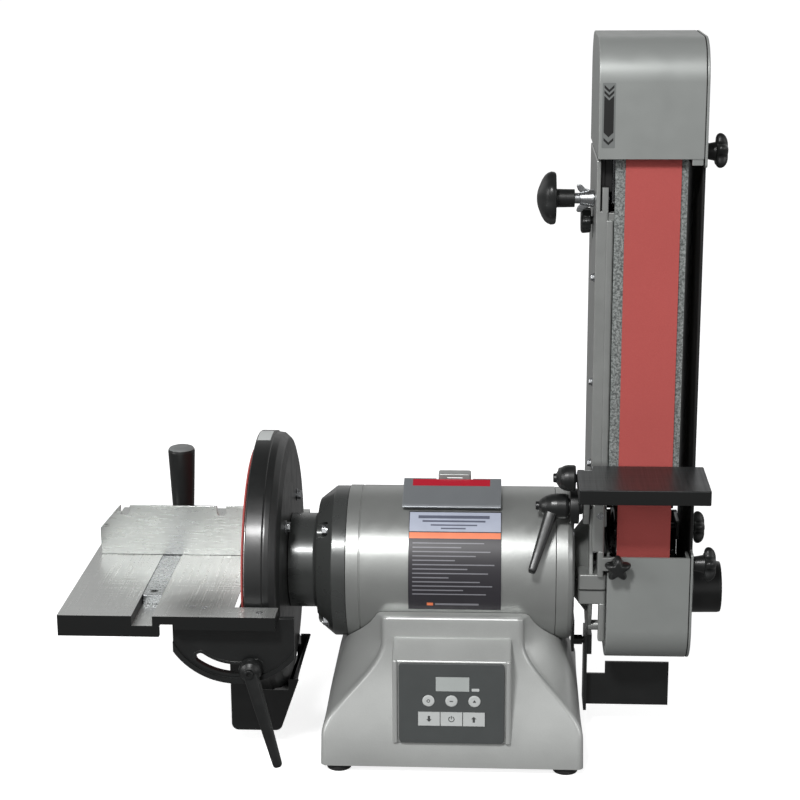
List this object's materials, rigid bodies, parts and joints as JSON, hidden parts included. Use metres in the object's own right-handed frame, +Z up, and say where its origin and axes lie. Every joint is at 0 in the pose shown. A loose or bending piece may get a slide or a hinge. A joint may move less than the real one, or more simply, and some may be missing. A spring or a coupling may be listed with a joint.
{
  "type": "belt disc sander",
  "caption": "Bench-top sander: motor on a cast base, tilting disc table with mitre gauge on the left, swinging upright belt arm with table on the right.",
  "frame": {"origin": "middle of the footprint box at bench level, under the rubber feet", "axes": "+Z up, +X from the disc towards the belt along the motor shaft, the user stands at -Y"},
  "size_m": [0.631, 0.3278, 0.698],
  "materials": {
    "silver_paint": "satin silver enamel over a fine casting",
    "cover_paint": "satin gray enamel on sheet",
    "dark_paint": "semi-gloss dark gray enamel",
    "black_paint": "semi-gloss black enamel",
    "black_plastic": "moulded, slightly glossy",
    "ground_iron": "ground bright top, black enamel edges",
    "dark_ground_iron": "dark ground top, black edges",
    "aluminium": "machined or sheet",
    "steel": "ground or zinc plated",
    "copper_windings": "lacquered windings on a laminated core",
    "abrasive": "red aluminium oxide grit on cloth",
    "graphite_pad": "granular graphite canvas on a steel plate",
    "rubber": "matt",
    "panel": "fine textured overlay",
    "key": "light gray film keys",
    "lcd": "gray liquid crystal window",
    "label": "printed foil in plain blocks",
    "plaque": "red stripe over gray",
    "circuit": "drive board in its housing"
  },
  "bodies": {
    "root": {"base_casting": "silver_paint", "base_plate": "steel", "drive_controller": "circuit", "cord_inlet": "black_plastic", "foot_front_left": "rubber", "foot_rear_left": "rubber", "foot_front_right": "rubber", "foot_rear_right": "rubber", "control_panel": "panel", "lcd_window": "lcd", "motor_shell": "silver_paint", "left_end_bell": "dark_paint", "right_end_bell": "silver_paint", "stator": "copper_windings", "bearing_left": "steel", "bearing_right": "steel", "nameplate": "plaque", "rating_label": "label", "accessory_bracket": "silver_paint", "disc_guard": "black_paint", "dust_hood": "black_paint", "spark_deflector": "black_paint"},
    "rotor": {"motor_rotor": "steel", "disc_plate": "aluminium", "sanding_disc": "abrasive", "drive_wheel": "aluminium"},
    "disc_table_unit": {"disc_table": "ground_iron", "trunnion_front": "black_paint", "trunnion_rear": "black_paint"},
    "table_lever": {"disc_table_lever": "black_plastic"},
    "mitre_slider": {"mitre_bar": "steel"},
    "mitre_gauge": {"mitre_head": "aluminium", "mitre_fence": "aluminium"},
    "mitre_grip": {"mitre_handle": "black_plastic"},
    "belt_arm": {"arm_frame": "silver_paint", "platen": "graphite_pad", "sanding_belt": "abrasive", "upper_cover": "cover_paint", "lower_guard": "cover_paint", "belt_table_bracket": "silver_paint", "tension_spring": "steel"},
    "guard_knob": {"guard_knob": "black_plastic"},
    "side_door": {"side_cover": "cover_paint", "dust_port": "black_plastic"},
    "knob_top": {"cover_knob_top": "black_plastic"},
    "knob_front": {"cover_knob_front": "black_plastic"},
    "knob_rear": {"cover_knob_rear": "black_plastic"},
    "tension_block": {"tension_slide": "black_plastic"},
    "yoke": {"idler_yoke": "steel"},
    "idler": {"idler_wheel": "aluminium"},
    "tracking_knob": {"tracking_knob": "black_plastic"},
    "belt_table": {"belt_table": "dark_ground_iron"},
    "tilt_lever": {"belt_table_tilt_lever": "black_plastic"},
    "lock_lever": {"belt_table_lock_lever": "black_plastic"},
    "key_mode": {"key_mode": "key"},
    "key_set": {"key_set": "key"},
    "key_reverse": {"key_reverse": "key"},
    "key_slower": {"key_slower": "key"},
    "key_power": {"key_power": "key"},
    "key_faster": {"key_faster": "key"}
  },
  "joints": [
    {"name": "rotor_spin", "type": "hinge", "parent": "root", "child": "rotor", "pos_m": [0.0505, 0.00289, 0.178], "axis": [1, 0, 0], "continuous": true},
    {"name": "disc_table_tilt", "type": "hinge", "parent": "root", "child": "disc_table_unit", "pos_m": [-0.1515, 0.00289, 0.176], "axis": [0, -1, 0], "range_deg": [0, 45]},
    {"name": "disc_table_lever_turn", "type": "hinge", "parent": "root", "child": "table_lever", "pos_m": [-0.13759, -0.14711, 0.12021], "axis": [0, -1, 0], "range_deg": [-10, 60]},
    {"name": "mitre_slide", "type": "slide", "parent": "disc_table_unit", "child": "mitre_slider", "axis": [0, 1, 0], "range_m": [-0.055, 0.1]},
    {"name": "mitre_swivel", "type": "hinge", "parent": "mitre_slider", "child": "mitre_gauge", "pos_m": [-0.236, 0.02789, 0.186], "axis": [0, 0, 1], "range_deg": [-45, 45]},
    {"name": "mitre_handle_turn", "type": "hinge", "parent": "mitre_slider", "child": "mitre_grip", "pos_m": [-0.236, 0.08589, 0.2], "axis": [0, 0, 1], "range_deg": [0, 180]},
    {"name": "arm_swing", "type": "hinge", "parent": "root", "child": "belt_arm", "pos_m": [0.0505, 0.00289, 0.178], "axis": [-1, 0, 0], "range_deg": [0, 90]},
    {"name": "tension_slide", "type": "slide", "parent": "belt_arm", "child": "tension_block", "axis": [0, 0, 1], "range_m": [-0.012, 0], "stiffness_N_per_m": 3000, "springref_m": 0.01, "deforming": ["tension_spring"]},
    {"name": "idler_track", "type": "hinge", "parent": "tension_block", "child": "yoke", "pos_m": [0.1991, -0.01911, 0.631], "axis": [0, 1, 0], "range_deg": [-0.5, 0.5]},
    {"name": "idler_spin", "type": "hinge", "parent": "yoke", "child": "idler", "pos_m": [0.233, -0.01911, 0.631], "axis": [1, 0, 0], "continuous": true},
    {"name": "tracking_knob_turn", "type": "hinge", "parent": "belt_arm", "child": "tracking_knob", "pos_m": [0.1375, -0.01911, 0.5475], "axis": [1, 0, 0], "range_deg": [-360, 360]},
    {"name": "side_cover_off", "type": "slide", "parent": "belt_arm", "child": "side_door", "axis": [1, 0, 0], "range_m": [0, 0.06]},
    {"name": "cover_knob_top_turn", "type": "hinge", "parent": "side_door", "child": "knob_top", "pos_m": [0.2965, -0.02711, 0.5925], "axis": [1, 0, 0], "continuous": true},
    {"name": "cover_knob_front_turn", "type": "hinge", "parent": "side_door", "child": "knob_front", "pos_m": [0.2965, -0.05711, 0.2], "axis": [1, 0, 0], "continuous": true},
    {"name": "cover_knob_rear_turn", "type": "hinge", "parent": "side_door", "child": "knob_rear", "pos_m": [0.2965, 0.05289, 0.2], "axis": [1, 0, 0], "continuous": true},
    {"name": "guard_knob_turn", "type": "hinge", "parent": "belt_arm", "child": "guard_knob", "pos_m": [0.2075, -0.08611, 0.204], "axis": [0, 1, 0], "continuous": true},
    {"name": "belt_table_tilt", "type": "hinge", "parent": "belt_arm", "child": "belt_table", "pos_m": [0.1715, -0.06711, 0.288], "axis": [1, 0, 0], "range_deg": [0, 45]},
    {"name": "tilt_lever_turn", "type": "hinge", "parent": "belt_arm", "child": "tilt_lever", "pos_m": [0.1575, -0.06711, 0.288], "axis": [1, 0, 0], "range_deg": [-8, 60]},
    {"name": "lock_lever_turn", "type": "hinge", "parent": "belt_arm", "child": "lock_lever", "pos_m": [0.1465, -0.05111, 0.255], "axis": [1, 0, 0], "range_deg": [-60, 0]},
    {"name": "key_mode_press", "type": "slide", "parent": "root", "child": "key_mode", "axis": [0, 1, 0], "range_m": [0, 0.001], "stiffness_N_per_m": 600},
    {"name": "key_set_press", "type": "slide", "parent": "root", "child": "key_set", "axis": [0, 1, 0], "range_m": [0, 0.001], "stiffness_N_per_m": 600},
    {"name": "key_reverse_press", "type": "slide", "parent": "root", "child": "key_reverse", "axis": [0, 1, 0], "range_m": [0, 0.001], "stiffness_N_per_m": 600},
    {"name": "key_slower_press", "type": "slide", "parent": "root", "child": "key_slower", "axis": [0, 1, 0], "range_m": [0, 0.001], "stiffness_N_per_m": 600},
    {"name": "key_power_press", "type": "slide", "parent": "root", "child": "key_power", "axis": [0, 1, 0], "range_m": [0, 0.001], "stiffness_N_per_m": 600},
    {"name": "key_faster_press", "type": "slide", "parent": "root", "child": "key_faster", "axis": [0, 1, 0], "range_m": [0, 0.001], "stiffness_N_per_m": 600}
  ],
  "couplings": [
    {"joint": "idler_spin", "follows": "rotor_spin", "ratio": 1.5789},
    {"joint": "idler_track", "follows": "tracking_knob_turn", "ratio": 0.0013889}
  ]
}
